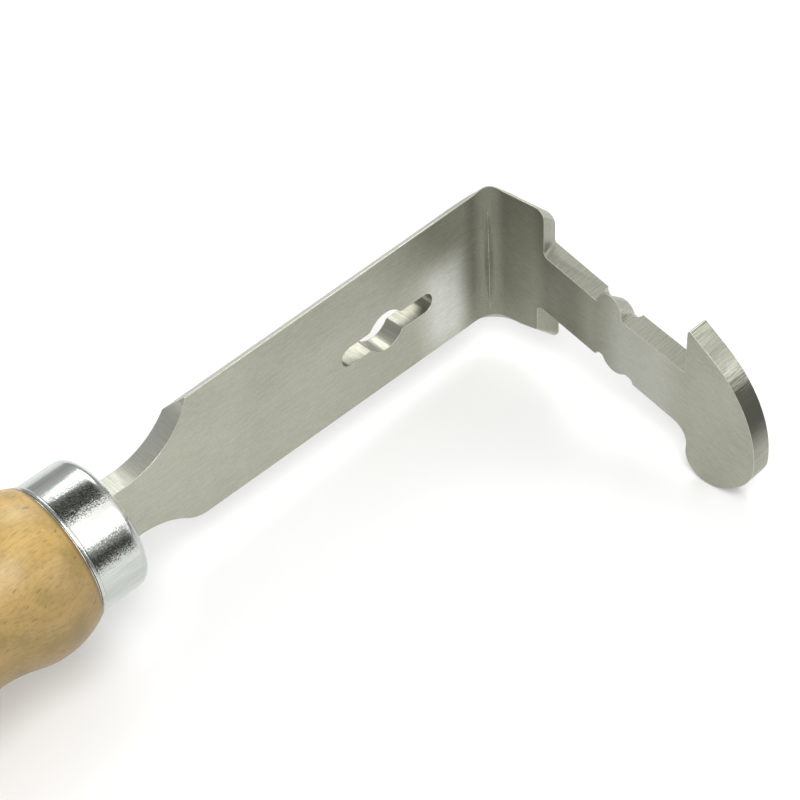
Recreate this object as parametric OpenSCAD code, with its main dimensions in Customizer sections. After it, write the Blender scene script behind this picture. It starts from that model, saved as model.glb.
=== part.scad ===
// Hive tool: one bent steel plate (scraper blade, flange and hooked arm) on a turned wooden handle.
// +X runs along the tool axis from the handle to the bend, +Z across the blade, the arm points to -Y.
// The origin is on the tool axis, at the front face of the ferrule.

/* [Plate] */
// thickness of the steel plate
sheet = 4; // [3:0.5:5]
// half width of the blade at the neck corner
half_width_neck = 15.3; // [12:0.1:18]
// half width of the blade at the bend
half_width_bend = 16.4; // [12:0.1:20]
// how far each bevel climbs across the plate thickness
bevel_drop = 3.7; // [2:0.1:5]
// land left on the sharp side of each bevelled edge
edge_land = 0.2; // [0.1:0.05:0.5]

/* [Neck and tang] */
// height of the neck above the tool axis
neck_above = 5.8; // [4:0.1:6.2]
// depth of the neck below the tool axis
neck_below = 6.3; // [4:0.1:6.4]
// radius of the neck's concave flare
neck_radius = 14.5; // [8:0.5:20]
// rounding of the lower corner between the flare and the blade
corner_round = 4.5; // [2:0.5:8]
// rounding of the same corner where the bevel meets the inner face
soft_round = 9; // [8:0.5:10]
// distance of that rounding's centre from the ferrule face
soft_from = 18.18; // [17.8:0.01:18.8]
// angle that the rounding turns through
soft_turn = 31.4; // [28:0.1:38]
// distance from the ferrule to the start of the flare
neck_start = 4.1; // [1:0.1:8]
// length of the full width neck behind the ferrule face
tang_shoulder = 3; // [2:0.5:6]
// width of the tang inside the handle
tang_width = 8; // [6:0.5:10]
// distance from the ferrule face to the tang's end
tang_length = 52; // [30:1:70]
// chamfer on the tang's end
tang_chamfer = 2; // [0.5:0.5:3]

/* [Nail hole] */
// distance from the ferrule to the hole's centre
hole_x = 60.2; // [50:0.1:70]
// radius of the round middle
hole_radius = 4.15; // [3:0.05:5]
// half height of the slots
slot_half = 2.05; // [1:0.05:3]
// reach of the slot towards the handle
slot_back = 10.5; // [8:0.1:14]
// reach of the slot towards the bend
slot_front = 11.2; // [8:0.1:14]
// fillet between the round middle and the slots
hole_fillet = 1; // [0.5:0.1:2]

/* [Bend] */
// distance from the ferrule to the arm's inner face
arm_face_x = 85.8; // [80:0.1:90]
// inside radius of the bend
bend_radius = 4; // [2:0.5:6]
// straight run of full width plate before the bend
bend_run = 3; // [1:0.5:6]
// extra height the bending pushes up on the bend's upper edge
bend_bulge = 0.85; // [0:0.05:1.5]
// width of the pressed groove inside the bend, at its middle
groove_width = 1.5; // [0.6:0.1:2]
// depth of the groove at its middle
groove_depth = 0.5; // [0.2:0.05:0.8]
// length of the groove
groove_length = 23; // [10:1:26]
// height of the groove's middle above the tool axis
groove_middle = 0.8; // [-2:0.1:2]

/* [Flange] */
// height of the flange's upper edge where it leaves the bend
root_above = 17.3; // [15:0.1:20]
// depth of the flange's lower edge where it leaves the bend, on the inner face
root_below = 11.7; // [10:0.1:14]
// depth of the same edge on the outer face
root_below_outer = 16.1; // [14:0.1:18]
// reach of the upper tab on the inner face
upper_reach = 15.3; // [12:0.1:20]
// height of the upper tab's corner on the inner face
upper_height = 17.9; // [15:0.1:20]
// how far the upper tab's end falls back across the thickness
upper_end_drop = 1; // [0.2:0.1:2]
// reach of the lower tab on the inner face
lower_reach = 13.7; // [12:0.1:20]
// depth of the lower tab's corner on the outer face
lower_depth = 14; // [12:0.1:18]
// how far the lower tab's end grows across the thickness
lower_end_growth = 1.6; // [0.2:0.1:2]
// radius of the tabs' outer corners
tab_round = 1.9; // [1:0.1:4]
// radius of the lower tab's corner on the inner face
tab_round_small = 0.8; // [0.4:0.1:2]
// radius of the inside corners between the tabs and the arm
relief_radius = 1.4; // [0.8:0.1:2.4]

/* [Arm] */
// upper edge, near end: distance from the tool axis and height
arm_top_a = [16.7, 7.9]; // [0:0.1:60]
// upper edge, in front of the tooth
arm_top_b = [27.8, 5.1]; // [0:0.1:60]
// upper edge, behind the tooth
arm_top_c = [34.1, 3.7]; // [0:0.1:60]
// upper edge, at the hook's notch
arm_top_d = [46.8, 1.1]; // [0:0.1:60]
// lower edge, near end
arm_low_a = [19.2, -5.2]; // [-20:0.1:60]
// lower edge, far end
arm_low_b = [44.9, -11.1]; // [-20:0.1:60]

/* [Teeth] */
// upper tooth: distance and height of its centre on the inner face
tooth_top = [30.1, 4.45]; // [0:0.05:40]
// radius of the upper tooth
tooth_top_radius = 2.8; // [2:0.1:4]
// lower tooth: distance and height of its centre on the inner face
tooth_low = [32.1, -3.9]; // [-10:0.1:40]
// radius of the lower tooth
tooth_low_radius = 3.6; // [2:0.1:5]
// how far a tooth's flank falls across the thickness
tooth_drop = 3.4; // [2:0.1:4]
// upper bevel beside the tooth: its two ends on the inner face
bevel_top_from = [27.5, 8.4]; // [0:0.1:40]
// upper bevel, far end
bevel_top_to = [33.5, 7.1]; // [0:0.1:40]
// lower bevel beside the tooth, near end
bevel_low_from = [28.3, -7.4]; // [-20:0.1:40]
// lower bevel, far end
bevel_low_to = [35.1, -9.2]; // [-20:0.1:40]
// radius at the ends of both bevels
bevel_end_radius = 0.9; // [0.5:0.1:1.5]

/* [Hook] */
// centre of the hook's outer arc
hook_centre = [39.7, -11.5]; // [-20:0.1:50]
// radius of the outer arc
hook_radius = 22.65; // [18:0.05:28]
// distance of the hook tip's inner edge
hook_inner = 46.8; // [44:0.1:50]
// distance where the hook's outer arc runs straight on to the tip
tip_from = 52; // [49:0.5:55]
// radius of the hook tip
tip_radius = 0.5; // [0.3:0.1:1.5]
// centre of the lobe's rounded corner
lobe_centre = [52.9, -16.5]; // [-20:0.1:60]
// centre of the hook's lower arc
low_centre = [51.4, -10]; // [-20:0.1:60]
// radius of the lower arc
low_radius = 11.3; // [8:0.1:14]
// radius of the throat between the arm and the lobe
throat_radius = 4; // [2:0.1:6]

/* [Ferrule] */
// outside radius of the ferrule
ferrule_radius = 11.8; // [9:0.1:15]
// length of the ferrule
ferrule_length = 9.8; // [8:0.1:20]
// wall thickness of the ferrule
ferrule_wall = 0.9; // [0.6:0.1:1.5]
// radius of its front shoulder
ferrule_shoulder = 1.7; // [0.5:0.1:3]
// height of the bead rolled on its rear edge
rim_height = 0.2; // [0.1:0.05:0.5]
// radius of that bead
rim_radius = 0.5; // [0.4:0.1:1]

/* [Handle] */
// gap between the wood's shoulder and the ferrule
shoulder_gap = 0.2; // [0.1:0.05:0.4]
// radius of the bead behind the ferrule
bead_radius = 14.05; // [12:0.05:17]
// distance of the bead's crest from the ferrule face
bead_at = 17; // [12:0.5:24]
// radius of the arc over the bead
bead_arc = 15; // [10:0.5:20]
// radius at the waist
waist_radius = 11.95; // [10:0.05:14]
// radius of the arc from the bead into the waist
waist_arc = 19; // [12:0.5:26]
// radius of the arc from the waist towards the belly
rise_arc = 100; // [60:1:140]
// distance where the belly's arc takes over
belly_from = 43; // [36:0.5:50]
// radius of the arc along the belly
belly_arc = 240; // [160:5:400]
// radius of the rounded butt edge
butt_round = 8; // [6:0.5:12]
// distance of the butt edge's centre
butt_at = 109; // [95:0.5:120]
// radius of the domed butt
dome_radius = 28; // [20:1:60]
// bore for the tang
bore_radius = 6.8; // [6.8:0.1:8]
// distance from the ferrule face to the bore's end
bore_end = 56; // [34:1:74]

/* [Show] */
// which part to draw

/* [Hidden] */
$fn = 96;
// facets of the arcs with a large radius
fine = 720;
// clearance between pieces that touch, and the small overlap of arcs that meet
fit_gap = 0.02;
// overshoot of cutting and joining bodies
over = 1;
// size of bodies that only bound others
clip = 80;
half = sheet / 2;
bend_x = arm_face_x - bend_radius;
bend_y = half + bend_radius;
blade_end = bend_x - bend_run;
end_half = half_width_bend - fit_gap;
corner_x = neck_start + sqrt(pow(neck_radius, 2) - pow(neck_above + neck_radius - half_width_neck, 2));
flare_low = [neck_start, -neck_below - neck_radius];
round_height = corner_round - half_width_neck;
round_reach = sqrt(pow(neck_radius + corner_round, 2) - pow(round_height - flare_low[1], 2));
round_centre = [neck_start + round_reach, round_height];
round_way = (round_centre - flare_low) / norm(round_centre - flare_low);
taper = atan((end_half - half_width_neck) / (blade_end + over - corner_x));
bevel_lean = atan(bevel_drop / (sheet - edge_land));
soft_height = soft_round - fit_gap - (half_width_neck - bevel_drop) * cos(bevel_lean);
fillet_reach = sqrt(pow(hole_radius + hole_fillet, 2) - pow(slot_half + hole_fillet, 2));
bend_step = 6;
groove_disc = pow(groove_length / 2, 2) / (2 * groove_depth);
tooth_lean = atan(tooth_drop / sheet);
top_slope = atan2(arm_top_b[1] - arm_top_a[1], arm_top_b[0] - arm_top_a[0]);
low_slope = atan2(arm_low_b[1] - arm_low_a[1], arm_low_b[0] - arm_low_a[0]);
lobe_radius = low_radius - norm(lobe_centre - low_centre);
lobe_inner = lobe_centre[0] - lobe_radius;
lobe_way = (lobe_centre - low_centre) / norm(lobe_centre - low_centre);
tip_angle = acos((tip_from - hook_centre[0]) / hook_radius);
tip_way = [cos(tip_angle), sin(tip_angle)];
tip_joint = hook_centre + (hook_radius + fit_gap) * tip_way;
tip_x = hook_inner + tip_radius;
tip_line = tip_joint[1] + (tip_joint[0] - tip_x) / tan(tip_angle);
tip_centre = [tip_x, tip_line - tip_radius / sin(tip_angle)];
throat_x = lobe_inner - throat_radius;
throat_centre = [throat_x, low_line(throat_x) - throat_radius / cos(low_slope)];
throat_way = [-sin(low_slope), cos(low_slope)];
ferrule_inside = ferrule_radius - ferrule_wall;
spigot_radius = ferrule_inside - fit_gap;
spigot_from = ferrule_wall + fit_gap;
shoulder_at = ferrule_length + shoulder_gap;
bead_centre = bead_radius - bead_arc;
waist_centre = waist_radius + waist_arc;
waist_at = bead_at + sqrt(pow(bead_arc + waist_arc, 2) - pow(waist_centre - bead_centre, 2));
waist_from = bead_at + (waist_at - bead_at) * bead_arc / (bead_arc + waist_arc);
rise_centre = waist_radius + rise_arc;
rise_angle = asin((belly_from - waist_at) / rise_arc);
belly_at = belly_from + belly_arc * sin(rise_angle);
belly_centre = rise_centre - (rise_arc + belly_arc) * cos(rise_angle);
butt_centre = belly_centre + sqrt(pow(belly_arc - butt_round, 2) - pow(butt_at - belly_at, 2));
butt_from = belly_at + (butt_at - belly_at) * belly_arc / (belly_arc - butt_round);
dome_at = butt_at - sqrt(pow(dome_radius - butt_round, 2) - pow(butt_centre, 2));
dome_way = [butt_centre, butt_at - dome_at] / (dome_radius - butt_round);
steel_colour = [0.63, 0.64, 0.58];
chrome_colour = [0.8, 0.82, 0.83];
wood_colour = [0.8, 0.65, 0.42];
bond_colour = [0.55, 0.5, 0.38];

// height of the arm's upper edge line at a distance from the tool axis
function top_line(reach) = arm_top_a[1] + (reach - arm_top_a[0]) * tan(top_slope);

// height of the arm's lower edge line at a distance from the tool axis
function low_line(reach) = arm_low_a[1] + (reach - arm_low_a[0]) * tan(low_slope);

// a straight slot from the origin along +X with two round ends
module slot_outline(length, radius) {
    translate([0, -radius])
        square([length, 2 * radius]);
    circle(radius);
    translate([length, 0])
        circle(radius);
}

// cross section of what a full thickness bevel takes away, sharp on the -Y side
module bevel_section(drop) {
    slope = drop / (sheet - edge_land);
    polygon([
        [edge_land - half - over, over * slope],
        [half + over, -drop - over * slope],
        [half + over, over * slope]
    ]);
}

// the bevel along the blade's upper edge
module blade_bevel() {
    translate([corner_x, 0, half_width_neck])
        rotate([0, -taper, 0])
            translate([-neck_radius, 0, 0])
                rotate([90, 0, 90])
                    linear_extrude(neck_radius + blade_end - corner_x + 2 * over)
                        bevel_section(bevel_drop * cos(taper));
}

// what the rounding of the inner face's lower corner takes away, parallel to the bevel
module soft_corner() {
    reach = soft_round + over;
    translate([0, -half, 0])
        rotate([90 - bevel_lean, 0, 0])
            translate([soft_from, soft_height, -clip / 2])
                linear_extrude(clip)
                    difference() {
                        polygon([
                            [0, 0],
                            [-reach * sin(soft_turn), -reach * cos(soft_turn)],
                            [-reach * sin(soft_turn / 2), -reach * cos(soft_turn / 2)],
                            [0, -reach]
                        ]);
                        circle(soft_round);
                    }
}

// outline of the nail hole about its centre
module hole_outline() {
    circle(hole_radius);
    translate([slot_half - slot_back, 0])
        slot_outline(slot_back + slot_front - 2 * slot_half, slot_half);
    for (turn = [0, 180], side = [0, 1])
        rotate(turn)
            mirror([0, side])
                difference() {
                    polygon([[0, 0], [fillet_reach, 0], [fillet_reach, slot_half + hole_fillet]]);
                    translate([fillet_reach, slot_half + hole_fillet])
                        circle(hole_fillet + fit_gap);
                }
}

// outline of the tang, neck and blade seen along Y
module blade_outline() {
    difference() {
        polygon([
            [neck_start, -half_width_neck],
            flare_low + (neck_radius - over) * round_way,
            round_centre,
            [round_centre[0], -half_width_neck],
            [blade_end + over, -end_half],
            [blade_end + over, end_half],
            [corner_x, half_width_neck],
            [neck_start, half_width_neck]
        ]);
        translate([neck_start, neck_above + neck_radius])
            circle(neck_radius);
        translate(flare_low)
            circle(neck_radius);
        translate([hole_x, 0])
            hole_outline();
    }
    translate(round_centre)
        circle(corner_round + fit_gap);
    translate([-tang_shoulder, -neck_below])
        square([tang_shoulder + neck_start, neck_above + neck_below]);
    polygon([
        [-tang_shoulder, -tang_width / 2],
        [-tang_shoulder, tang_width / 2],
        [tang_chamfer - tang_length, tang_width / 2],
        [-tang_length, tang_width / 2 - tang_chamfer],
        [-tang_length, tang_chamfer - tang_width / 2],
        [tang_chamfer - tang_length, -tang_width / 2]
    ]);
}

// tang, neck and blade with both long edges bevelled from opposite faces
module flat_blade() {
    difference() {
        rotate([90, 0, 0])
            linear_extrude(sheet, center = true)
                blade_outline();
        blade_bevel();
        rotate([180, 0, 0])
            blade_bevel();
        soft_corner();
    }
}

// value that eases from one end of the bend to the other
function eased(from, to, turn) = from + (to - from) * pow(sin(turn), 2);

// bevelled cross section of the plate at an angle round the bend: radius and height of each corner
function bend_section(turn) =
    let (
        outer = bend_radius + sheet,
        top = eased(half_width_bend, root_above, turn) + bend_bulge * pow(sin(2 * turn), 2),
        low = -eased(half_width_bend, root_below_outer, turn)
    )
    [
        [bend_radius, -eased(half_width_bend - bevel_drop, root_below, turn)],
        [outer - edge_land, low],
        [outer, low],
        [outer, top - bevel_drop],
        [bend_radius + edge_land, top],
        [bend_radius, top]
    ];

// short straight run and quarter turn of the bevelled section, with the pressed groove inside it
module bend() {
    turns = [for (turn = [0 : bend_step : 90]) turn];
    corners = len(bend_section(0));
    last = len(turns) * corners;
    start = [for (c = bend_section(0)) [-bend_run, c[0], c[1]]];
    rest = [for (turn = turns, c = bend_section(turn)) [c[0] * sin(turn), c[0] * cos(turn), c[1]]];
    walls = [
        for (row = [0 : corners : last - corners], c = [0 : corners - 1])
            let (next = (c + 1) % corners)
            each [
                [row + c, row + corners + c, row + next],
                [row + next, row + corners + c, row + corners + next]
            ]
    ];
    translate([bend_x, -bend_y, 0])
        difference() {
            polyhedron(
                points = concat(start, rest),
                faces = concat(
                    [[for (c = [0 : corners - 1]) c]],
                    walls,
                    [[for (c = [corners - 1 : -1 : 0]) last + c]]
                )
            );
            rotate([0, 0, 45])
                translate([bend_radius + groove_depth - groove_disc, 0, groove_middle])
                    for (side = [0, 1])
                        mirror([0, side, 0])
                            rotate([90, 0, 0])
                                cylinder(
                                    r1 = groove_disc,
                                    r2 = groove_disc - groove_depth,
                                    h = groove_width / 2,
                                    $fn = fine
                                );
        }
}

// outline of a flange tab: reach and height of its corner, height at the bend, corner rounding
module tab_outline(reach, height, root, round) {
    polygon([[bend_y, 0], [bend_y, root], [reach - round, height], [reach, 0]]);
    translate([reach - round, height - sign(height) * round])
        circle(round, $fn = 40);
}

// upper flange tab, widest on the inner face
module upper_tab() {
    hull() {
        translate([0, 0, sheet - edge_land])
            linear_extrude(edge_land)
                tab_outline(upper_reach, upper_height, root_above, tab_round);
        linear_extrude(edge_land)
            tab_outline(
                upper_reach - upper_end_drop,
                upper_height - bevel_drop,
                root_above - bevel_drop,
                tab_round
            );
    }
}

// lower flange tab, widest on the outer face
module lower_tab() {
    hull() {
        translate([0, 0, sheet - edge_land])
            linear_extrude(edge_land)
                tab_outline(lower_reach, bevel_drop - lower_depth, -root_below, tab_round_small);
        linear_extrude(edge_land)
            tab_outline(lower_reach + lower_end_growth, -lower_depth, -root_below_outer, tab_round);
    }
}

// fills the inside corner between a tab's end and the arm's edge line; side is 1 above the arm, -1 below
module relief(wall, height, slope, drift, side) {
    tilt = atan(drift / sheet);
    foot = -side * [-sin(slope), cos(slope)];
    deep = foot * (relief_radius + over);
    translate([wall + relief_radius, height + side * relief_radius / cos(slope), sheet])
        rotate([0, tilt, 0])
            translate([0, 0, -clip / 2])
                linear_extrude(clip)
                    difference() {
                        polygon([
                            [-relief_radius - over, 0],
                            [0, 0],
                            deep,
                            [-relief_radius - over, deep[1]]
                        ]);
                        circle(relief_radius + 2 * fit_gap);
                    }
}

// leans its children through the thickness as the tooth flanks do, from a point on the inner face
module leaning(point) {
    translate([point[0], point[1], sheet])
        rotate([-tooth_lean, 0, 0])
            translate([0, 0, -clip / 2])
                linear_extrude(clip)
                    children();
}

// bevel ground between two points of the inner face, parallel to the tooth flanks
module side_bevel(from, to) {
    run = to - from;
    rise = run[1] * cos(tooth_lean);
    leaning(from)
        rotate(atan2(rise, run[0]))
            slot_outline(norm([run[0], rise]), bevel_end_radius);
}

// outline of the arm's shank from the bend into the hook
module shank_outline() {
    polygon([
        [bend_y, top_line(bend_y)],
        arm_top_b,
        arm_top_c,
        arm_top_d,
        [lobe_centre[0], arm_top_d[1]],
        [lobe_centre[0], low_line(lobe_centre[0])],
        [bend_y, low_line(bend_y)]
    ]);
    difference() {
        polygon([
            throat_centre,
            throat_centre + throat_way * (throat_radius + over),
            [lobe_inner + over, throat_centre[1] + throat_radius],
            [lobe_inner + over, throat_centre[1]]
        ]);
        translate(throat_centre)
            circle(throat_radius);
    }
}

// outline of the hook at the arm's end
module hook_outline() {
    far = clip + hook_inner;
    intersection() {
        union() {
            translate(hook_centre)
                circle(hook_radius, $fn = fine);
            polygon([
                tip_joint,
                tip_centre + tip_radius * tip_way,
                [hook_inner, tip_centre[1]],
                hook_centre
            ]);
        }
        union() {
            translate(low_centre)
                circle(low_radius, $fn = fine);
            translate([hook_inner, low_centre[1]])
                square(clip);
        }
        polygon([
            [hook_inner, tip_centre[1]],
            tip_centre,
            tip_centre + clip * tip_way,
            [far, clip],
            [far, -clip],
            lobe_centre + clip * lobe_way,
            lobe_centre,
            [lobe_inner, lobe_centre[1]],
            [lobe_inner, low_centre[1]],
            [hook_inner, low_centre[1]]
        ]);
    }
    translate(tip_centre)
        circle(tip_radius + fit_gap);
    translate(lobe_centre)
        circle(lobe_radius);
}

// flange, arm, teeth and hook as a flat plate; X is the reach from the tool axis, Y the height
module flat_arm() {
    intersection() {
        translate([bend_y, -clip / 2, 0])
            cube([clip, clip, sheet]);
        union() {
            difference() {
                linear_extrude(sheet) {
                    shank_outline();
                    hook_outline();
                }
                side_bevel(bevel_top_from, bevel_top_to);
                side_bevel(bevel_low_from, bevel_low_to);
            }
            upper_tab();
            lower_tab();
            relief(upper_reach, top_line(upper_reach + relief_radius), top_slope, upper_end_drop, 1);
            relief(lower_reach, low_line(lower_reach + relief_radius), low_slope, -lower_end_growth, -1);
            leaning(tooth_top)
                circle(tooth_top_radius);
            leaning(tooth_low)
                circle(tooth_low_radius);
        }
    }
}

// steel blade: tang, neck, scraper plate, bend, flange and hooked arm in one piece
module blade() {
    color(steel_colour) {
        flat_blade();
        bend();
        translate([arm_face_x + sheet, 0, 0])
            rotate([90, 0, -90])
                flat_arm();
    }
}

// turns a profile (radius, distance behind the ferrule face) about the tool axis
module turned() {
    rotate([0, -90, 0])
        rotate_extrude()
            children();
}

// room for the tang: from an overshoot in front of the ferrule to a depth behind its face
module tang_room(depth, below, above) {
    translate([-depth, -half - fit_gap, -below - fit_gap])
        cube([depth + over, sheet + 2 * fit_gap, below + above + 2 * fit_gap]);
}

// resin that fills the handle's bore around the tang
module tang_bond() {
    color(bond_colour)
        difference() {
            turned()
                translate([0, spigot_from])
                    square([bore_radius - fit_gap, bore_end - spigot_from - fit_gap]);
            tang_room(tang_shoulder + fit_gap, neck_below, neck_above);
            tang_room(tang_length + fit_gap, tang_width / 2, tang_width / 2);
        }
}

// pressed metal cap over the front of the handle
module ferrule() {
    color(chrome_colour)
        difference() {
            turned()
                difference() {
                    union() {
                        square([ferrule_radius - ferrule_shoulder, ferrule_length]);
                        translate([0, ferrule_shoulder])
                            square([ferrule_radius, ferrule_length - ferrule_shoulder]);
                        translate([ferrule_radius - ferrule_shoulder, ferrule_shoulder])
                            circle(ferrule_shoulder);
                        translate([ferrule_radius + rim_height - rim_radius, ferrule_length - rim_radius])
                            circle(rim_radius);
                    }
                    translate([-over, ferrule_wall])
                        square([ferrule_inside + over, ferrule_length]);
                }
            tang_room(tang_shoulder, neck_below, neck_above);
        }
}

// outline of the handle: spigot, bead, waist, belly and domed butt
module handle_outline() {
    translate([0, spigot_from])
        square([spigot_radius, shoulder_at - spigot_from + over]);
    intersection() {
        translate([bead_centre, bead_at])
            circle(bead_arc, $fn = fine);
        translate([0, shoulder_at])
            square([bead_radius + over, waist_from - shoulder_at]);
    }
    difference() {
        translate([0, waist_from])
            square([bead_radius, waist_at - waist_from]);
        translate([waist_centre, waist_at])
            circle(waist_arc, $fn = fine);
    }
    difference() {
        translate([0, waist_at])
            square([bead_radius, belly_from - waist_at]);
        translate([rise_centre, waist_at])
            circle(rise_arc, $fn = fine);
    }
    intersection() {
        translate([belly_centre, belly_at])
            circle(belly_arc, $fn = fine);
        translate([0, belly_from])
            polygon([
                [0, 0],
                [clip, 0],
                [clip, butt_from - belly_from],
                [butt_centre, butt_at - belly_from],
                [0, butt_at - belly_from]
            ]);
    }
    intersection() {
        translate([butt_centre, butt_at])
            circle(butt_round);
        translate([0, butt_at - butt_round])
            square(clip);
    }
    intersection() {
        translate([0, dome_at])
            circle(dome_radius, $fn = fine);
        polygon([
            [0, butt_at],
            [butt_centre, butt_at],
            [butt_centre, butt_at] + clip * dome_way,
            [0, butt_at + clip]
        ]);
    }
}

// turned wooden handle with its blind bore
module handle() {
    color(wood_colour)
        turned()
            difference() {
                handle_outline();
                translate([-over, 0])
                    square([bore_radius + over, bore_end]);
            }
}

blade();
tang_bond();
ferrule();
handle();
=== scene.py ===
"""Looks for the hive tool: brushed steel, polished ferrule and lacquered wood on a pale floor.

Places on the tool are in millimetres, noise sizes are in features per millimetre, turns are in
degrees, the floor and lights are placed in metres, and colours are linear light.
"""
import math
from types import SimpleNamespace

import bpy
from mathutils import Matrix, Vector


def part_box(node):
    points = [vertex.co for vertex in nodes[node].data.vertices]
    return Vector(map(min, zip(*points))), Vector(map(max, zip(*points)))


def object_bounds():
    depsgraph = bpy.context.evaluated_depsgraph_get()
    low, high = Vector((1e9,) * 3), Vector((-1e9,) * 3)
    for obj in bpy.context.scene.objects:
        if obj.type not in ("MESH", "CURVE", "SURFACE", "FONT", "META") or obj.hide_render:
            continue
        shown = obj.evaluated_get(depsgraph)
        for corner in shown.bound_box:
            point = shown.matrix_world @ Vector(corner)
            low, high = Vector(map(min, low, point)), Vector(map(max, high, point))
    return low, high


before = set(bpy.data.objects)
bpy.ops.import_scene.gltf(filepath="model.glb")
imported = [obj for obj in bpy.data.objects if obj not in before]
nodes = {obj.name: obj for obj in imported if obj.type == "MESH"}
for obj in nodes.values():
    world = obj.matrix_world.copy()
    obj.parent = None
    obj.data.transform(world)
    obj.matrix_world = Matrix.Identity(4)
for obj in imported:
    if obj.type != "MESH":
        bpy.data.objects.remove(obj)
cad_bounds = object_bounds()

MM = 0.001

# landmarks from the frame, in metres
ARM_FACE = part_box("blade")[1].x
FERRULE_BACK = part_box("ferrule")[0].x
FERRULE_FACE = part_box("ferrule")[1].x
FERRULE_LENGTH = (FERRULE_FACE - FERRULE_BACK) / MM

# the camera, in the tool's own frame
CAMERA_AT = Vector((-89.4, -175.3, 214.5)) * MM
CAMERA_RIGHT = Vector((0.714, -0.698, -0.055))
CAMERA_UP = Vector((0.525, 0.482, 0.700))
CAMERA_LENS = 81.7
CAMERA_SENSOR = 36.0
CAMERA_NEAR = 10.0 * MM

# colours
WHITE = (1.0, 1.0, 1.0)
STEEL_LIGHT = (0.43, 0.432, 0.36)
# the dark steel is the painted shade in the bend and in the nail slot
STEEL_DARK = (0.19, 0.19, 0.15)
STEEL_SHADE = (0.045, 0.045, 0.036)
# the lightest steel, for worn edges and painted highlights
STEEL_WORN_AND_HIGHLIGHT = (0.80, 0.81, 0.78)
CHROME_WHITE = (1.0, 1.0, 0.95)
CHROME_LIGHT = (0.60, 0.63, 0.61)
CHROME_GREY = (0.48, 0.51, 0.48)
CHROME_DARK = (0.032, 0.031, 0.022)
WOOD_PALE = (0.585, 0.390, 0.128)
WOOD_WARM = (0.480, 0.275, 0.068)
# the olive is also the painted shade below the handle
WOOD_OLIVE = (0.280, 0.205, 0.055)
# the fleck colour is also the painted shadow beside the ferrule
WOOD_FLECK = (0.12, 0.078, 0.028)
RESIN = (0.30, 0.24, 0.12)
FLOOR = (0.93, 0.93, 0.925)
FLOOR_DULL = (0.90, 0.90, 0.90)
HORIZON = (0.72, 0.73, 0.74)

# A span is (start, end), or (start, end, value at start, value at end) where it isn't from 0 to 1.
# A name with BAND in it is (start, full, fading, end): 1 in its middle and 0 outside.
MOST_NOISE = (0.30, 0.70)

# places on the blade, back from the arm's outer face
# the DARKENS spans below place painted shade towards and into the bend
BLADE_DARKENS = (39.8, 12.8, 0.0, 0.30)
BLADE_ROUGHENS = (21.8, 7.8)
BEND_DARKENS = (13.3, 7.3, 0.0, 0.55)
BEND_BEGINS = 11.3
BLADE_ENDS = 7.8
ARM_BEGINS = (8.8, 4.8)
HOOK_FACE = 5.8
# a painted highlight on the blade beside the bend, along it
SHEEN_BAND_ALONG = (8.3, 13.3, 15.8, 23.8)
NAIL_HOLE = 29.6

# places on the arm, down from the blade's middle plane
BEND_ROUGHENS = (16.0, 5.0)
BEND_ENDS = 18.0
BEND_FADES = (11.0, 6.5, 0.55, 1.0)
# the arm's painted shade beside the bend, and painted light on the hook further down
ARM_DARKENS = (32.0, 21.0)
ARM_LIGHTENS_IN_BEND = (16.5, 12.0, 0.95, 0.52)
# a painted highlight on the arm
ARM_SHINE_BAND = (27.0, 34.0, 40.0, 48.0)
HOOK_LIGHTENS = (34.0, 50.0, 0.0, 0.25)
HOOK_BEGINS = 47.5

# places up from the blade's middle line
UPPER_HALF = (-2.0, 11.0)
UPPER_EDGE_DARKENS = (2.0, 15.0, 0.0, 0.20)
# a painted highlight on the blade beside the bend, across it
SHEEN_BAND_ACROSS = (-18.0, -8.0, 2.0, 10.0)
SLOT_HALF_HEIGHT = 6.0

# places along the nail slot, out from its middle
SLOT_REACH = 16.0
# painted shade on the slot's walls
SLOT_DARKENS = (2.0, 11.0, 0.10, 0.80)

# places on the neck, forward of the ferrule, for its painted highlight
FLARE_ENDS = 17.8
FLARE_SHINES = (16.0, 4.0, 0.22, 0.10)

# dark reflections on the hook's rim, by the angle of its surface in radians
RIM_TOP = (0.90, 0.66)
RIM_MIDDLE = (0.12, 0.42, 0.36, 1.0)
RIM_FOOT = (-1.5, -1.1)

# reflections round the ferrule, by angle in radians, and how far back they reach
FERRULE_DARK_BANDS = (
    (0.26, 0.42, 0.60, 0.76),
    (1.06, 1.24, 1.42, 1.62),
    (-2.3, -2.1, -1.9, -1.6),
    (2.2, 2.4, 2.6, 2.9),
)
FERRULE_BRIGHT_BAND = (0.66, 0.80, 1.04, 1.18)
FERRULE_BODY_BAND = (0.6, 2.2, FERRULE_LENGTH - 0.9, FERRULE_LENGTH)

# places on the handle for its painted shade and shadow: up from its axis, towards its shaded side,
# and back from the ferrule's face
HANDLE_UNDERSIDE_SHADE = (10.0, -12.0, 0.0, 0.45)
HANDLE_SHADED_SIDE = (-0.8, -0.6)
HANDLE_SHADED = (-8.0, 10.0, 1.0, 0.60)
SHOULDER_SHADOW_REACH = (FERRULE_LENGTH + 1.0, FERRULE_LENGTH + 0.2)

# how strongly each effect shows on the steel
TONE_DRIFT = 0.6
# strengths of the painted highlights on the arm and beside the bend
ARM_SHINE = 0.28
BEND_HIGHLIGHT = 0.62
RIM_SWAY = 0.25
RIM_DARKNESS = 0.93
MARK_DARKEST_ON_EDGE = 0.80
MARK_DARKEST_ON_FACE = 0.93
MARK_BRIGHTEST = 1.08
GRAIN_TONES = (0.95, 1.05)
MARK_ROUGHNESS = (0.40, 0.30)
MOTTLED_ROUGHNESS = 0.10
BEND_ROUGHNESS = 0.22

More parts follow.
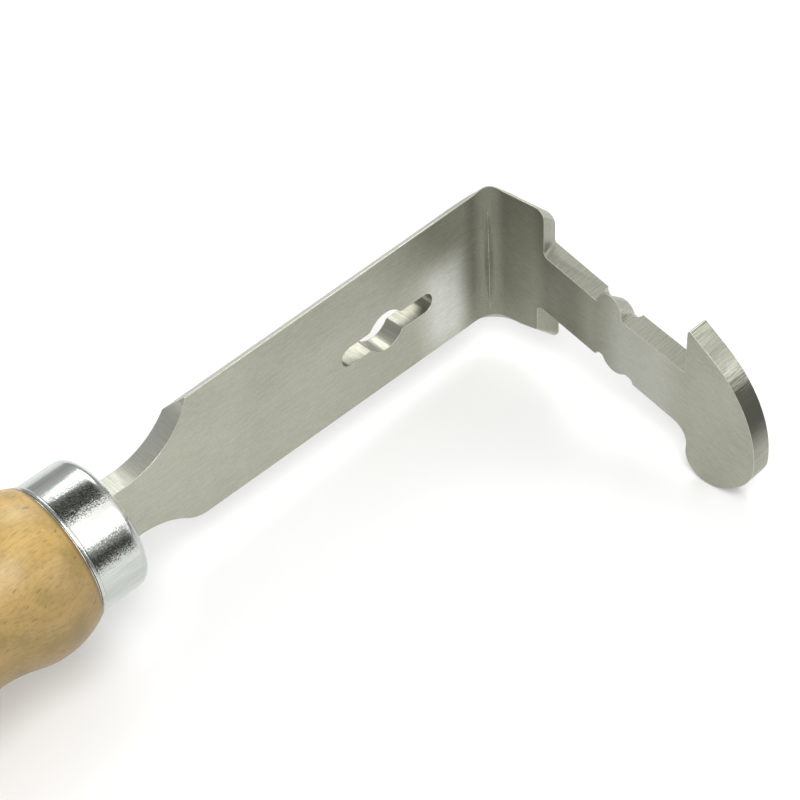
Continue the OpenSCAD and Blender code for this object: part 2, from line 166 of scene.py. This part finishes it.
# edges, made lighter by wear and a painted highlight: their radius, and how far a rounded normal
# turns from a flat one, as a cosine
EDGE_RADIUS = 0.16
EDGE_SAMPLES = 6
EDGE_WEAR_AND_HIGHLIGHT = (0.995, 0.90, 0.0, 0.65)

# the ferrule's finish
ANGLE_WOBBLE = 0.6
SCRATCH_SHARE = 0.30
HATCH_SHARE = 0.70
HATCH_IN_DARK_BANDS = (0.32, 0.60, 0.70, 0.96)
SCRATCHES = (0.35, 0.70)
FINE_ROUGHNESS = (0.30, 0.75, 0.14, 0.26)
BRIGHT_ROUGHNESS = 0.16
FINE_HEIGHT = 0.5

# the handle's finish, and how dark its painted shadow beside the ferrule is
GRAIN_WAVE = 0.004
SHOULDER_SHADOW_DARKNESS = 0.8
FLECKS = (0.66, 0.74)
RAYS = (0.70, 0.76)
FLECK_DARKNESS = 0.55
WOOD_ROUGHNESS = 0.36
FIBRE_ROUGHNESS = 0.15
FIBRE_HEIGHT = 0.6

# the studio: floor, surround, and each light's name, place, width and power in watts
FLOOR_REACH = 3.0
FLOOR_GAP = 0.3 * MM
SURROUND_STRENGTH = 0.62
SURROUND_FADE = (0.0, 0.8)
LIGHTS_AIM = Vector((0.02, -0.02, 0.0))
LIGHTS = (
    ("key", (-0.25, -0.35, 0.75), 0.55, 4.6),
    ("rim", (0.45, 0.45, 0.55), 0.50, 2.4),
    ("fill", (0.40, -0.60, 0.30), 0.50, 1.2),
)

# CAD faces are welded where they meet, and shaded smooth across edges under an angle
WELD_REACH = 0.002 * MM
BLADE_SOFT_ANGLE = 24
ROUND_SOFT_ANGLE = 40

# sockets of the Mix node that share their names: first, second and result
COLOUR_SOCKETS = (6, 7, 2)
VECTOR_SOCKETS = (4, 5, 1)


class Graph:
    """A small helper that adds nodes to a tree and wires them up."""

    def __init__(self, tree):
        self.tree = tree

    def node(self, kind, values=None, **settings):
        made = self.tree.nodes.new(kind)
        for name, value in settings.items():
            setattr(made, name, value)
        for name, value in (values or {}).items():
            self.feed(made.inputs[name], value)
        return made

    def feed(self, socket, value):
        if isinstance(value, bpy.types.NodeSocket):
            self.tree.links.new(value, socket)
        elif isinstance(value, tuple) and socket.type == "RGBA":
            socket.default_value = (*value, 1.0)
        else:
            socket.default_value = value

    def math(self, operation, a, b=0.0, clamp=False):
        made = self.node("ShaderNodeMath", operation=operation, use_clamp=clamp)
        self.feed(made.inputs[0], a)
        self.feed(made.inputs[1], b)
        return made.outputs[0]

    def chain(self, operation, first, *others):
        for other in others:
            first = self.math(operation, first, other)
        return first

    def times(self, *values):
        return self.chain("MULTIPLY", *values)

    def plus(self, *values):
        return self.chain("ADD", *values)

    def most(self, *values):
        return self.chain("MAXIMUM", *values)

    def above(self, value, limit):
        return self.math("GREATER_THAN", value, limit)

    def below(self, value, limit):
        return self.math("LESS_THAN", value, limit)

    def absolute(self, value):
        return self.math("ABSOLUTE", value)

    def rest_of(self, value):
        """What is left of 1."""
        return self.math("SUBTRACT", 1.0, value, clamp=True)

    def swing(self, noise, amount):
        """Noise moved to lie about 0 and scaled."""
        return self.times(self.math("SUBTRACT", noise, 0.5), amount)

    def ramp(self, value, start, end, at_start=0.0, at_end=1.0):
        """Maps start..end to at_start..at_end, smoothly and clamped."""
        made = self.node("ShaderNodeMapRange", interpolation_type="SMOOTHSTEP")
        for index, given in enumerate((value, start, end, at_start, at_end)):
            self.feed(made.inputs[index], given)
        return made.outputs[0]

    def band(self, value, start, full, fading, end):
        """1 from full to fading, and smoothly 0 from end on and before start."""
        return self.times(self.ramp(value, start, full), self.ramp(value, end, fading))

    def blend(self, kind, sockets, amount, a, b, **settings):
        made = self.node("ShaderNodeMix", {0: amount}, data_type=kind, **settings)
        first, second, result = sockets
        self.feed(made.inputs[first], a)
        self.feed(made.inputs[second], b)
        return made.outputs[result]

    def mix(self, amount, a, b):
        return self.blend("RGBA", COLOUR_SOCKETS, amount, a, b)

    def darken(self, colour, value):
        """A colour multiplied by a plain value."""
        grey = self.node("ShaderNodeCombineColor", {0: value, 1: value, 2: value}).outputs[0]
        return self.blend("RGBA", COLOUR_SOCKETS, 1.0, colour, grey, blend_type="MULTIPLY")

    def split(self, vector):
        return self.node("ShaderNodeSeparateXYZ", {"Vector": vector}).outputs

    def normal(self, kind="Normal"):
        return self.node("ShaderNodeNewGeometry").outputs[kind]

    def noise(self, where, size, detail=3.0, rough=0.5, output="Fac"):
        values = {"Vector": where, "Scale": size / MM, "Detail": detail, "Roughness": rough}
        return self.node("ShaderNodeTexNoise", values).outputs[output]

    def streaks(self, where, turn, stretch, size, detail=4.0, rough=0.65):
        """Noise turned by Euler angles, then drawn out along its own X axis."""
        angles = tuple(math.radians(angle) for angle in turn)
        turned = self.node("ShaderNodeMapping", {"Vector": where, "Rotation": angles})
        along = {"Vector": turned.outputs[0], "Scale": (1.0 / stretch, 1.0, 1.0)}
        drawn = self.node("ShaderNodeMapping", along)
        return self.noise(drawn.outputs[0], size, detail, rough)

    def bump(self, height, strength, depth, normal=None):
        values = {"Height": height, "Strength": strength, "Distance": depth * MM}
        if normal is not None:
            values["Normal"] = normal
        return self.node("ShaderNodeBump", values).outputs[0]


def material(name):
    """A new material, its graph, its surface shader and the place on the object being shaded."""
    made = bpy.data.materials.new(name)
    made.use_nodes = True
    made.node_tree.nodes.clear()
    graph = Graph(made.node_tree)
    surface = graph.node("ShaderNodeBsdfPrincipled")
    graph.node("ShaderNodeOutputMaterial", {"Surface": surface.outputs[0]})
    where = graph.node("ShaderNodeTexCoord").outputs["Object"]
    return made, graph, surface, where


def set_inputs(graph, surface, **values):
    for name, value in values.items():
        graph.feed(surface.inputs[name.replace("_", " ")], value)


def distance(graph, start, place, direction=1.0):
    """From start to place along one axis, in mm, times direction: -1 counts against the axis."""
    return graph.times(graph.math("SUBTRACT", place, start), direction / MM)


def steel_places(graph, where):
    """Distances along the blade's features and which kind of surface is being shaded."""
    x, y, z = graph.split(where)
    spot = SimpleNamespace(
        back=distance(graph, ARM_FACE, x, -1.0),
        down=distance(graph, 0.0, y, -1.0),
        up=distance(graph, 0.0, z),
        forward=distance(graph, FERRULE_FACE, x),
    )
    broad_normal = 0.9
    upright_normal = 0.35
    normal_x, normal_y, normal_z = graph.split(graph.normal("True Normal"))
    faces_y = graph.above(graph.absolute(normal_y), broad_normal)
    upright = graph.below(graph.absolute(normal_z), upright_normal)
    at_bend = graph.times(graph.below(spot.back, BEND_BEGINS), graph.below(spot.down, BEND_ENDS))
    in_bend = graph.times(upright, at_bend, graph.ramp(spot.down, *BEND_FADES))

    spot.on_arm = graph.above(graph.absolute(normal_x), broad_normal)
    spot.on_blade = graph.times(faces_y, graph.above(spot.back, BLADE_ENDS))
    spot.on_face = graph.math("ADD", graph.plus(spot.on_arm, spot.on_blade), in_bend, clamp=True)
    spot.on_edge = graph.rest_of(spot.on_face)
    spot.near_arm = graph.ramp(spot.back, *ARM_BEGINS)
    return spot


def grinding_marks(graph, where, spot):
    """Marks along both broad faces, and straight through the plate on its edges."""
    broad = {"stretch": 12.0, "size": 5.2, "detail": 5.0, "rough": 0.7}
    narrow = {"stretch": 14.0, "size": 3.8}
    on_blade = graph.streaks(where, (0.0, 2.0, 0.0), **broad)
    on_arm = graph.streaks(where, (-13.0, 0.0, 90.0), **broad)
    on_blade_edge = graph.streaks(where, (0.0, 0.0, -90.0), **narrow)
    on_arm_edge = graph.streaks(where, (0.0, 0.0, 0.0), **narrow)
    edge = graph.mix(spot.near_arm, on_blade_edge, on_arm_edge)
    face = graph.mix(spot.on_arm, on_blade, on_arm)
    return graph.mix(spot.on_face, edge, face)


def painted_steel_shade(graph, where, spot):
    """Painted shade, 0 to 1: darker towards and inside the bend, lighter out on the blade, and
    lighter still on the hook as painted light.
    """
    drift = graph.swing(graph.noise(where, 0.048), TONE_DRIFT)
    along_blade = graph.times(graph.ramp(spot.back, *BLADE_DARKENS), graph.ramp(spot.up, *UPPER_HALF))
    into_bend = graph.ramp(spot.back, *BEND_DARKENS)
    along_arm = graph.times(
        graph.ramp(spot.down, *ARM_DARKENS),
        graph.ramp(spot.down, *ARM_LIGHTENS_IN_BEND),
        spot.near_arm,
    )
    shade = graph.most(along_blade, into_bend, along_arm)
    shade = graph.plus(shade, graph.ramp(spot.up, *UPPER_EDGE_DARKENS))
    shade = graph.math("ADD", shade, drift, clamp=True)
    return graph.math("SUBTRACT", shade, graph.ramp(spot.down, *HOOK_LIGHTENS), clamp=True)


def rim_darkness(graph, spot, marks):
    """How much of the room's dark side shows on the outward edge of the hook."""
    _, normal_y, normal_z = graph.split(graph.normal())
    tilt = graph.math("ARCTAN2", normal_z, graph.times(normal_y, -1.0))
    tilt = graph.plus(tilt, graph.swing(marks, RIM_SWAY))
    on_hook = graph.times(graph.above(spot.down, HOOK_BEGINS), graph.below(spot.back, HOOK_FACE))
    bands = [graph.ramp(tilt, *span) for span in (RIM_TOP, RIM_MIDDLE, RIM_FOOT)]
    return graph.times(on_hook, spot.on_edge, *bands, RIM_DARKNESS)


def painted_slot_shade(graph, spot):
    """Painted shade on the nail slot's walls: darker towards the slot's two ends."""
    out = graph.absolute(graph.math("SUBTRACT", spot.back, NAIL_HOLE))
    inside = graph.times(
        graph.below(out, SLOT_REACH),
        graph.below(graph.absolute(spot.up), SLOT_HALF_HEIGHT),
        spot.on_edge,
    )
    return graph.times(inside, graph.ramp(out, *SLOT_DARKENS))


def steel_highlights(graph, spot):
    """Amounts of painted highlight on the arm, on the blade beside the bend and on the flare's edge.
    """
    on_arm = graph.times(graph.band(spot.down, *ARM_SHINE_BAND), spot.on_arm, ARM_SHINE)
    beside_bend = graph.times(
        graph.band(spot.back, *SHEEN_BAND_ALONG),
        graph.band(spot.up, *SHEEN_BAND_ACROSS),
        spot.on_blade,
        BEND_HIGHLIGHT,
    )
    on_flare = graph.times(
        graph.below(spot.forward, FLARE_ENDS),
        graph.above(spot.up, 0.0),
        spot.on_edge,
        graph.ramp(spot.forward, *FLARE_SHINES),
    )
    return on_arm, beside_bend, on_flare


def brushed_steel():
    made, graph, surface, where = material("brushed_steel")
    spot = steel_places(graph, where)
    marks = grinding_marks(graph, where, spot)
    shade = painted_steel_shade(graph, where, spot)
    arm_shine, bend_highlight, flare_shine = steel_highlights(graph, spot)

    # painted shade towards and inside the bend
    tone = graph.mix(graph.times(shade, spot.on_face), STEEL_LIGHT, STEEL_DARK)
    # painted highlights on the arm and beside the bend
    tone = graph.mix(arm_shine, tone, STEEL_WORN_AND_HIGHLIGHT)
    tone = graph.mix(bend_highlight, tone, STEEL_WORN_AND_HIGHLIGHT)
    darkest = graph.ramp(spot.on_face, 0.0, 1.0, MARK_DARKEST_ON_EDGE, MARK_DARKEST_ON_FACE)
    brushed = graph.ramp(marks, *MOST_NOISE, darkest, MARK_BRIGHTEST)
    grain = graph.noise(where, 4.2, detail=2.0, rough=0.6)
    grain = graph.ramp(grain, *MOST_NOISE, *GRAIN_TONES)
    tone = graph.darken(tone, graph.times(brushed, grain))
    # painted shade in the nail slot
    tone = graph.mix(painted_slot_shade(graph, spot), tone, STEEL_DARK)
    # a painted highlight on the flare's edge
    tone = graph.mix(flare_shine, tone, STEEL_WORN_AND_HIGHLIGHT)
    tone = graph.mix(rim_darkness(graph, spot, marks), tone, STEEL_SHADE)

    # edges rounded a little, and lighter there: partly burnished by use, partly a painted highlight
    bevel = graph.node("ShaderNodeBevel", {"Radius": EDGE_RADIUS * MM}, samples=EDGE_SAMPLES)
    rounded = bevel.outputs[0]
    both = {0: rounded, 1: graph.normal()}
    alike = graph.node("ShaderNodeVectorMath", both, operation="DOT_PRODUCT").outputs["Value"]
    tone = graph.mix(graph.ramp(alike, *EDGE_WEAR_AND_HIGHLIGHT), tone, STEEL_WORN_AND_HIGHLIGHT)

    mottled = graph.noise(where, 0.9, detail=4.0, rough=0.6)
    worked = graph.times(
        graph.ramp(spot.back, *BLADE_ROUGHENS),
        graph.ramp(spot.down, *BEND_ROUGHENS),
        BEND_ROUGHNESS,
    )
    rough = graph.plus(
        graph.ramp(marks, *MOST_NOISE, *MARK_ROUGHNESS),
        graph.times(mottled, MOTTLED_ROUGHNESS),
        worked,
    )
    bump = graph.bump(marks, strength=0.14, depth=0.02, normal=rounded)
    set_inputs(graph, surface, Base_Color=tone, Metallic=1.0, Roughness=rough, Normal=bump)
    return made


def polished_chrome():
    """A polished cylinder in a light tent: soft dark bands each side of a bright one."""
    made, graph, surface, where = material("polished_chrome")
    x, y, z = graph.split(where)
    scratch = graph.streaks(where, (0.0, 0.0, 0.0), stretch=20.0, size=2.6, detail=5.0, rough=0.7)
    fine = graph.streaks(where, (0.0, 0.0, 12.0), stretch=30.0, size=7.0, detail=3.0, rough=0.6)
    hatch = graph.streaks(where, (0.0, 35.0, 30.0), stretch=9.0, size=5.2, detail=3.0, rough=0.6)

    wobble = graph.plus(graph.times(scratch, SCRATCH_SHARE), graph.times(hatch, HATCH_SHARE))
    angle = graph.math("ARCTAN2", z, graph.times(y, -1.0))
    angle = graph.plus(angle, graph.swing(wobble, ANGLE_WOBBLE))
    dark = graph.most(*[graph.band(angle, *band) for band in FERRULE_DARK_BANDS])
    on_body = graph.band(distance(graph, FERRULE_FACE, x, -1.0), *FERRULE_BODY_BAND)
    dark = graph.times(dark, on_body, graph.ramp(hatch, *HATCH_IN_DARK_BANDS))
    bright = graph.band(angle, *FERRULE_BRIGHT_BAND)

    tone = graph.mix(graph.ramp(scratch, *SCRATCHES), CHROME_GREY, CHROME_LIGHT)
    tone = graph.mix(bright, tone, CHROME_WHITE)
    tone = graph.mix(dark, tone, CHROME_DARK)
    rough = graph.ramp(fine, *FINE_ROUGHNESS)
    rough = graph.plus(rough, graph.times(bright, BRIGHT_ROUGHNESS))
    height = graph.plus(scratch, graph.times(fine, FINE_HEIGHT))
    bump = graph.bump(height, strength=0.12, depth=0.02)
    set_inputs(graph, surface, Base_Color=tone, Metallic=1.0, Roughness=rough, Normal=bump)
    return made


def lacquered_wood():
    made, graph, surface, where = material("lacquered_wood")
    x, y, z = graph.split(where)
    waves = graph.noise(where, 0.04, detail=2.0, output="Color")
    along = graph.blend("VECTOR", VECTOR_SOCKETS, GRAIN_WAVE, where, waves)
    blush = graph.noise(where, 0.038, detail=2.0)
    clouds = graph.noise(where, 0.17, detail=5.0, rough=0.6)
    grain = graph.streaks(along, (0.0, 0.0, 2.0), stretch=10.0, size=0.52, rough=0.6)
    fibre = graph.streaks(along, (0.0, 0.0, -3.0), stretch=16.0, size=4.2, detail=3.0, rough=0.6)
    pores = graph.streaks(along, (0.0, 0.0, 2.0), stretch=2.6, size=1.9, detail=5.0, rough=0.7)
    fleck = graph.streaks(along, (0.0, 4.0, 0.0), stretch=5.0, size=2.3, detail=2.0, rough=0.5)
    rays = graph.streaks(along, (30.0, 0.0, 0.0), stretch=20.0, size=1.5, detail=1.0, rough=0.4)

    # each layer of figure: its pattern, where that starts and is full, how strong it is, its colour
    layers = (
        (blush, 0.38, 0.66, 1.00, WOOD_WARM),
        (clouds, 0.42, 0.68, 0.60, WOOD_OLIVE),
        (grain, 0.44, 0.72, 0.42, WOOD_WARM),
        (fibre, 0.46, 0.78, 0.50, WOOD_OLIVE),
        (pores, 0.47, 0.72, 0.55, WOOD_OLIVE),
    )
    tone = WOOD_PALE
    for pattern, start, full, strength, colour in layers:
        tone = graph.mix(graph.ramp(pattern, start, full, 0.0, strength), tone, colour)

    # painted shade: darker below and on the shaded side, and a painted shadow in the corner beside
    # the ferrule
    tone = graph.mix(graph.ramp(distance(graph, 0.0, z), *HANDLE_UNDERSIDE_SHADE), tone, WOOD_OLIVE)
    side_y, side_z = HANDLE_SHADED_SIDE
    shaded = graph.plus(distance(graph, 0.0, y, side_y), distance(graph, 0.0, z, side_z))
    tone = graph.darken(tone, graph.ramp(shaded, *HANDLE_SHADED))
    # a painted shadow in the corner beside the ferrule
    shoulder_shadow = graph.ramp(distance(graph, FERRULE_FACE, x, -1.0), *SHOULDER_SHADOW_REACH)
    tone = graph.mix(graph.times(shoulder_shadow, SHOULDER_SHADOW_DARKNESS), tone, WOOD_FLECK)
    flecks = graph.most(graph.ramp(fleck, *FLECKS), graph.ramp(rays, *RAYS))
    tone = graph.mix(graph.times(flecks, FLECK_DARKNESS), tone, WOOD_FLECK)

    rough = graph.plus(graph.times(fibre, FIBRE_ROUGHNESS), WOOD_ROUGHNESS)
    height = graph.math("SUBTRACT", graph.times(fibre, FIBRE_HEIGHT), flecks)
    bump = graph.bump(height, strength=0.25, depth=0.05)
    set_inputs(graph, surface, Base_Color=tone, Roughness=rough, Normal=bump)
    set_inputs(graph, surface, Coat_Weight=0.18, Coat_Roughness=0.22)
    return made


def cast_resin():
    made, graph, surface, where = material("cast_resin")
    tone = graph.mix(graph.noise(where, 0.7, detail=4.0), RESIN, WOOD_FLECK)
    bump = graph.bump(graph.noise(where, 1.5), strength=0.4, depth=0.1)
    set_inputs(graph, surface, Base_Color=tone, Roughness=0.55, Normal=bump)
    return made


def pale_floor():
    made, graph, surface, where = material("pale_floor")
    dull = graph.ramp(graph.noise(where, 0.03), *MOST_NOISE, 0.0, 0.3)
    tone = graph.mix(dull, FLOOR, FLOOR_DULL)
    set_inputs(graph, surface, Base_Color=tone, Roughness=0.85)
    return made


def paint(obj, made, soft_angle):
    """Welds the seams between CAD faces, smooths what is round and gives the object its material."""
    weld = obj.modifiers.new("weld_seams", "WELD")
    weld.merge_threshold = WELD_REACH
    for slot in obj.material_slots:
        slot.material = made
    if not obj.material_slots:
        obj.data.materials.append(made)
    smooth_by_angle(obj, soft_angle)


def smooth_by_angle(obj, angle):
    """Smooth shading that stays crisp along every edge sharper than angle."""
    smooth = obj.modifiers.new("smooth_by_angle", "NODES")
    smooth.node_group = bpy.data.node_groups.get("smooth_by_angle") or smooth_group()
    smooth["Socket_1"] = math.radians(angle)


def smooth_group():
    """The node group behind smooth_by_angle. Its angle is its second socket, Socket_1."""
    group = bpy.data.node_groups.new("smooth_by_angle", "GeometryNodeTree")
    group.interface.new_socket("Geometry", in_out="INPUT", socket_type="NodeSocketGeometry")
    group.interface.new_socket("Angle", in_out="INPUT", socket_type="NodeSocketFloat")
    group.interface.new_socket("Geometry", in_out="OUTPUT", socket_type="NodeSocketGeometry")
    graph = Graph(group)
    mesh, angle, _ = graph.node("NodeGroupInput").outputs
    bend = graph.node("GeometryNodeInputMeshEdgeAngle").outputs["Unsigned Angle"]
    for domain, smooth in (("FACE", True), ("EDGE", graph.below(bend, angle))):
        values = {"Geometry": mesh, "Shade Smooth": smooth}
        mesh = graph.node("GeometryNodeSetShadeSmooth", values, domain=domain).outputs[0]
    graph.node("NodeGroupOutput", {0: mesh})
    return group


def add_object(name, data):
    made = bpy.data.objects.new(name, data)
    bpy.context.scene.collection.objects.link(made)
    return made


def add_floor(level):
    """A wide square at a level in metres."""
    signs = ((-1, -1), (1, -1), (1, 1), (-1, 1))
    corners = [(x * FLOOR_REACH, y * FLOOR_REACH, level) for x, y in signs]
    mesh = bpy.data.meshes.new("floor")
    mesh.from_pydata(corners, [], [range(len(corners))])
    mesh.materials.append(pale_floor())
    add_object("floor", mesh)


def add_surround():
    """An even white room, a little darker at the horizon."""
    world = bpy.data.worlds.new("surround")
    world.use_nodes = True
    world.node_tree.nodes.clear()
    graph = Graph(world.node_tree)
    _, _, upward = graph.split(graph.node("ShaderNodeTexCoord").outputs["Generated"])
    tone = graph.mix(graph.ramp(upward, *SURROUND_FADE), HORIZON, WHITE)
    glow = graph.node("ShaderNodeBackground", {"Color": tone, "Strength": SURROUND_STRENGTH})
    graph.node("ShaderNodeOutputWorld", {"Surface": glow.outputs[0]})
    bpy.context.scene.world = world


def add_light(name, at, size, power):
    """A round soft light aimed at the tool."""
    light = bpy.data.lights.new(name, "AREA")
    light.shape = "DISK"
    light.size = size
    light.energy = power
    lamp = add_object(name, light)
    lamp.location = at
    lamp.rotation_euler = (LIGHTS_AIM - Vector(at)).to_track_quat("-Z", "Y").to_euler()


def add_camera():
    lens = bpy.data.cameras.new("camera")
    lens.lens = CAMERA_LENS
    lens.sensor_width = CAMERA_SENSOR
    lens.clip_start = CAMERA_NEAR
    right = CAMERA_RIGHT.normalized()
    back = right.cross(CAMERA_UP).normalized()
    up = back.cross(right)
    turn = Matrix((right, up, back)).transposed()
    eye = add_object("camera", lens)
    eye.matrix_world = Matrix.Translation(CAMERA_AT) @ turn.to_4x4()
    bpy.context.scene.camera = eye


paint(nodes["blade"], brushed_steel(), BLADE_SOFT_ANGLE)
paint(nodes["ferrule"], polished_chrome(), ROUND_SOFT_ANGLE)
paint(nodes["handle"], lacquered_wood(), ROUND_SOFT_ANGLE)
paint(nodes["tang_bond"], cast_resin(), ROUND_SOFT_ANGLE)

add_floor(cad_bounds[0].z - FLOOR_GAP)
add_surround()
for light in LIGHTS:
    add_light(*light)
add_camera()
bpy.context.scene.view_settings.view_transform = "Standard"
